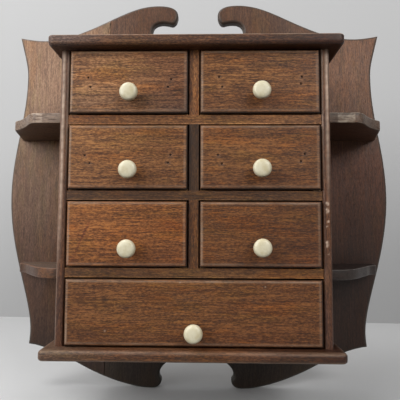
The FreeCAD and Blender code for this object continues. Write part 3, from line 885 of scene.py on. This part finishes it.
def front_plan(low, high, across):
    """Plan of a front: the end rabbets for the drawer's sides, the round corners and the face."""
    (x0, face, _), (x1, inside, _) = low, high
    radius = front_edge_radius
    lap = inside - rabbet_depth
    inner = (x0 + box_side, x1 - box_side)
    across = across[(across > x0 + radius) & (across < x1 - radius)]
    left, right = front_corners(x0, x1, face, radius)
    left_lap = [(inner[0], inside), (inner[0], lap), (x0, lap)]
    right_lap = [(x1, lap), (inner[1], lap), (inner[1], inside)]
    return np.vstack([left_lap, left, row(across, face), right, right_lap])


def front_rings(name):
    """A front: its plan, carried up through its height and given its edges, tack holes, groove, chips and
    pale lines.

    Near the upper and lower edge the face falls back on a quarter round. Each tack hole is a dimple,
    the depth times a bell of the distance, and the arris wanders by a ripple. Returns the rings and two
    attributes: first a pale line just inside the edges, from use and partly a painted highlight, strongest
    on the left and upper edges that face the key lamp, and chips; then the tack holes and painted shade in
    the gaps outside that line.
    """
    low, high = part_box(name + "_drawer_front")
    (x0, face, z0), (x1, inside, z1) = low, high
    bottom_low, bottom_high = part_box(name + "_drawer_bottom")
    radius = front_edge_radius
    holes = [((x0 if x > 0 else x1) + x * MM, z0 + z * MM) for x, z in tack_holes.get(name, ())]
    chips = [(x * MM, z * MM, size * MM) for x, z, size in front_chips.get(name, ())]
    path = front_plan(low, high, graded(x0, x1, [mark[0] for mark in holes + chips]))
    stations = graded(z0, z1, [mark[1] for mark in holes + chips])
    groove = [bottom_low[Z] - groove_clearance, bottom_high[Z] + groove_clearance]
    stations = np.sort(np.concatenate([stations, groove, groove]))
    grooved = np.zeros(len(stations), bool)
    grooved[np.searchsorted(stations, groove[0]) + 1 : np.searchsorted(stations, groove[1]) + 1] = True
    rings = lifted(path, stations)
    x, y, z = rings[..., X], rings[..., Y], rings[..., Z]
    to_end = np.minimum(z - z0, z1 - z)
    to_side = np.minimum(x - x0, x1 - x)
    on_face = y < face + radius + 0.01 * MM
    arris = np.clip(1 - np.minimum(to_end, to_side) / (1.6 * radius), 0, 1)
    seed = drawers.index(name)
    wander = front_wander * (np.abs(ripple(x, 30 + seed)) + np.abs(ripple(z, 60 + seed)))
    pit = np.zeros_like(x)
    for at_x, at_z in holes:
        pit = np.maximum(pit, np.exp(-((np.hypot(x - at_x, z - at_z) / (0.74 * pit_radius)) ** 4)))
    pit *= on_face
    fallen = np.maximum(y, face + fall_back(to_end, radius))
    y = np.where(on_face, fallen + arris * wander + pit_depth * pit, y)
    y = np.where((y > inside - 0.01 * MM) & grooved[:, None], inside - groove_depth, y)
    corner = fall_back(to_end, worn_corner)
    x = np.clip(x, x0 + corner, x1 - corner)
    from_left = x - x0
    from_right = x1 - x - shaded_margin
    from_above = z1 - z
    from_below = z - z0 - shaded_margin
    nearest = np.minimum(np.minimum(from_left, from_right), np.minimum(from_above, from_below))
    # The pale line is partly from use and partly a painted highlight: it is strongest on the left and upper
    # edges, which face the key lamp.
    line = bump_at(nearest, *pale_line) * (0.75 + 0.35 * ripple(x + z, 90 + seed))
    line *= np.where(from_left < 3 * MM, 1.0, np.where(from_above < 3 * MM, 0.8, 0.45))
    edge = np.where(on_face, np.clip(line, 0, 1), 0.0)
    for at_x, at_z in holes:
        ring = bump_at(np.hypot(x - at_x, z - at_z), 1.7 * pit_radius, 0.6 * pit_radius)
        edge = np.maximum(edge, 0.10 * ring * on_face)
    for at_x, at_z, size in chips:
        edge = np.maximum(edge, 1.3 * bump_at(np.hypot(x - at_x, z - at_z), 0, size) * on_face)
    # Painted shade in the gaps round the front, darkest at its outer edge.
    painted_gap_shade = np.clip(1 - nearest / painted_shade_width, 0, 1) * 0.9
    return np.stack([x, y, z], axis=-1), edge, np.maximum(pit, painted_gap_shade)


# For each front: gain of the brown, and the further gain towards its right end, which is painted shade away
# from the key lamp. The grey, pale gain of the top left front is partly a painted sheen.
front_gains = {
    "wide": ((0.98, 0.95, 0.91), (0.84, 0.80, 0.82)),
    "third_left": ((1.20, 1.13, 1.02), (0.82, 0.80, 0.82)),
    "third_right": ((0.93, 0.88, 0.80), (0.78, 0.74, 0.76)),
    "second_left": ((1.16, 1.17, 1.16), (0.78, 0.76, 0.78)),
    "second_right": ((1.00, 0.98, 0.94), (0.86, 0.84, 0.84)),
    "top_left": ((1.30, 1.38, 1.55), (0.56, 0.48, 0.48)),
    "top_right": ((1.10, 1.10, 1.08), (0.84, 0.82, 0.86)),
}
plum_scratch = ((-0.0906, -0.0221), (-0.1048, -0.0544), 1.6 * MM, (0.80, 0.66, 0.80))  # ends, width, gain
box_brown = dict(dark=(92, 66, 42), brown=(138, 104, 70), light=(170, 134, 96))
for seed, name in enumerate(drawers):
    rings, edge, pit = front_rings(name)
    front = wrapped(name + "_worn_and_shaded_front", rings, edge=edge, pit=pit)
    gain, shade_to_right = front_gains[name]
    (x0, _, z0), (x1, _, z1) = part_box(name + "_drawer_front")
    # Each front also turns darker towards its lower edge: painted shade.
    shade_to_foot = (0.57, 0.62, 0.78) if name == "top_left" else (0.79, 0.76, 0.81)
    tones = ((X, 0.7 * x0 + 0.3 * x1, x1, shade_to_right), (Z, 0.5 * z0 + 0.5 * z1, z0, shade_to_foot))
    finish = dict(edge_colour=(176, 150, 128), edge_strength=0.7, broken=0.5, tones=tones, **scaled(front_brown, gain))
    if name == "third_left":
        finish["scratch"] = plum_scratch
    front.data.materials.append(stained_wood(name + "_front_wood", X, 40 + seed, warmth=0.7, **finish))
    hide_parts(name + "_drawer_front")
    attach(front, name + "_drawer")
    for part, axis in (("sides", Y), ("back", X), ("bottom", X)):
        wood = stained_wood(f"{name}_{part}_wood", axis, 50 + seed, warmth=0.3, **box_brown)
        coat(f"{name}_drawer_{part}", wood)


# ---- Knobs -----------------------------------------------------------------------------------
# Turned mushroom knobs with an old ivory-coloured glaze, each held by an iron screw from inside.

knob_around = 56
knob_curve_steps = 12
foot_radius = 4.7 * MM
foot_height = 1.0 * MM
neck_radius = 3.7 * MM


def knob_rings(low, high):
    """The knob's profile, from its foot over the neck and the rim to the crown, turned about its axis."""
    centre = ((low[X] + high[X]) / 2, (low[Z] + high[Z]) / 2)
    rim = (high[X] - low[X]) / 2
    reach = high[Y] - low[Y]
    foot_at = (foot_radius, foot_height)
    neck_at = (neck_radius, 0.28 * reach)
    rim_at = (rim, 0.72 * reach)
    poles = (
        (foot_at, (neck_radius, 1.6 * foot_height), (neck_radius, 0.8 * neck_at[1]), neck_at),
        (neck_at, (neck_radius, 0.50 * reach), (rim, 0.50 * reach), rim_at),
        (rim_at, (rim, 0.94 * reach), (0.8 * rim, reach), (0.02 * rim, reach)),
    )
    curves = [bezier(curve, knob_curve_steps) for curve in poles]
    profile = np.vstack([[(foot_radius, 0)], *curves, poles[-1][-1:]])
    turn = np.linspace(0, 2 * np.pi, knob_around, endpoint=False)
    radius, out = profile[:, 0, None], profile[:, 1, None]
    x = centre[0] + radius * np.cos(turn)
    z = centre[1] + radius * np.sin(turn)
    y = np.broadcast_to(high[Y] - out, x.shape)
    return np.stack([x, y, z], axis=-1)


def ivory_glaze(name, seed):
    """Creamy glaze, a little darker in faint clouds and specks, with a soft gloss."""
    s = Shader(name)
    shift = (seed * 2.3, seed * 1.7, seed * 3.1)
    cloud = s.noise((170, 170, 170), shift, 3.0, 0.6)
    colour = s.mix(s.step(cloud, 0.35, 0.75), linear(220, 212, 184), linear(204, 192, 156))
    speck = s.step(s.noise((1500, 1500, 1500), shift, 1.0), 0.74, 0.80)
    colour = s.mix(s.math("MULTIPLY", speck, 0.5), colour, linear(150, 126, 88))
    roughness = s.math("ADD", 0.26, s.math("MULTIPLY", cloud, 0.18))
    normal = s.bump(cloud, 0.3 * MM, 0.3)
    return s.finish(colour, roughness, normal, **{"IOR": 1.5})


for seed, name in enumerate(drawers):
    knob = wrapped(name + "_glazed_knob", knob_rings(*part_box(name + "_knob")))
    knob.data.materials.append(ivory_glaze(name + "_glaze", seed))
    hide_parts(name + "_knob")
    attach(knob, name + "_drawer")
    coat(name + "_knob_screw", iron)


# ---- Floor, backdrop, light and camera ---------------------------------------------------------
# The cabinet stands on its lower scrolls on a pale floor, a short way in front of a pale wall that is
# see-through from behind. Three soft lamps: the key high on the left, one near the ceiling, also on the
# left, and a weaker fill high on the right. The open room beyond gives little light, but looks pale.

floor_level = cad_box[0][Z]
stage_reach = 4.0
floor_reach = 2.2
wall_left = 0.53          # the wall is not quite square to the cabinet: its distance at the stage's left end
wall_right = 0.19         # and at its right end
floor_seen = (211, 211, 211)
floor_bounced = (60, 60, 60)
wall_seen = (198, 198, 198)
wall_bounced = (165, 165, 165)


def looked_at(tree):
    """1 for a camera, glossy or transmission ray, and 0 for one that carries light between surfaces."""
    path = tree.nodes.new("ShaderNodeLightPath").outputs
    most = path["Is Camera Ray"]
    for ray in ("Is Glossy Ray", "Is Transmission Ray"):
        either = tree.nodes.new("ShaderNodeMath")
        either.operation = "MAXIMUM"
        tree.links.new(most, either.inputs[0])
        tree.links.new(path[ray], either.inputs[1])
        most = either.outputs[0]
    return most


def plain(name, seen, bounced):
    """Even paint, seen at its full paleness and throwing less light back on the cabinet."""
    s = Shader(name)
    cloud = s.noise((3, 3, 3), detail=2.0)
    tint = s.mix(s.math("MULTIPLY", cloud, 0.04), linear(*seen), linear(*(0.8 * np.array(seen))))
    colour = s.mix(looked_at(s.tree), linear(*bounced), tint)
    return s.finish(colour, 0.9, s.bump(cloud, 0.1 * MM, 0.1), **{"Specular IOR Level": 0.1})


def clear_behind(material):
    """Makes a wall's paint see-through from its back, so that it never hides the cabinet."""
    tree = material.node_tree
    output = tree.nodes["Material Output"].inputs["Surface"]
    side = tree.nodes.new("ShaderNodeNewGeometry")
    clear = tree.nodes.new("ShaderNodeBsdfTransparent")
    either = tree.nodes.new("ShaderNodeMixShader")
    tree.links.new(side.outputs["Backfacing"], either.inputs[0])
    tree.links.new(output.links[0].from_socket, either.inputs[1])
    tree.links.new(clear.outputs[0], either.inputs[2])
    tree.links.new(either.outputs[0], output)


def sheet(name, corners, seen, bounced):
    """A flat part of the stage from its four corners."""
    mesh = bpy.data.meshes.new(name)
    mesh.from_pydata(corners, [], [(0, 1, 2, 3)])
    mesh.materials.append(plain(name + "_paint", seen, bounced))
    stage = bpy.data.objects.new(name, mesh)
    bpy.context.collection.objects.link(stage)
    stage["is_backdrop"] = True
    return stage


across = (-stage_reach, stage_reach, stage_reach, -stage_reach)
near_and_far = (-floor_reach, -floor_reach, floor_reach, floor_reach)
wall_places = (wall_left, wall_right, wall_right, wall_left)
foot_and_head = (floor_level, floor_level, stage_reach, stage_reach)
sheet("floor", [*zip(across, near_and_far, [floor_level] * 4)], floor_seen, floor_bounced)
wall = sheet("backdrop", [*zip(across, wall_places, foot_and_head)], wall_seen, wall_bounced)
clear_behind(wall.data.materials[0])


def lamp(name, place, target, size, power):
    """A soft square lamp that points at a target."""
    light = bpy.data.lights.new(name, "AREA")
    light.energy = power
    light.size = size
    holder = bpy.data.objects.new(name, light)
    holder.location = place
    holder.rotation_euler = (Vector(target) - Vector(place)).to_track_quat("-Z", "Y").to_euler()
    bpy.context.collection.objects.link(holder)


case_middle = (0, -0.05, 0)
under_case = (0, -0.15, -0.20)
lamp("key_lamp", (-1.50, -1.42, 0.80), case_middle, size=1.5, power=36.5)
lamp("ceiling_lamp", (-1.00, -0.50, 1.85), under_case, size=1.0, power=24)
lamp("fill_lamp", (1.00, -1.40, 0.95), case_middle, size=1.0, power=18.5)

room_light = 0.08
room_seen = 0.56          # how pale the open side of the room looks
world = bpy.data.worlds.new("room")
world.use_nodes = True
room = world.node_tree
background = room.nodes["Background"].inputs
background["Color"].default_value = (1, 1, 1, 1)
strength = room.nodes.new("ShaderNodeMapRange")
strength.inputs["To Min"].default_value = room_light
strength.inputs["To Max"].default_value = room_seen
room.links.new(looked_at(room), strength.inputs["Value"])
room.links.new(strength.outputs[0], background["Strength"])
bpy.context.scene.world = world

camera_place = (0.014435, -0.500467, -0.031104)
camera_turn = (93.9461, -0.2384, 1.2859)  # degrees about X, Y and Z: it looks 4 up and 1.3 to the left
camera = bpy.data.cameras.new("camera")
camera.sensor_width = 36
camera.lens = 40.088
camera.clip_end = 20
viewer = bpy.data.objects.new("camera", camera)
viewer.matrix_world = Matrix.LocRotScale(Vector(camera_place), Euler(np.radians(camera_turn)), None)
bpy.context.collection.objects.link(viewer)
bpy.context.scene.camera = viewer
bpy.context.scene.view_settings.view_transform = "Standard"

sizes = {"cad": [list(corner) for corner in cad_box], "visual": [list(corner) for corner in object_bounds()]}
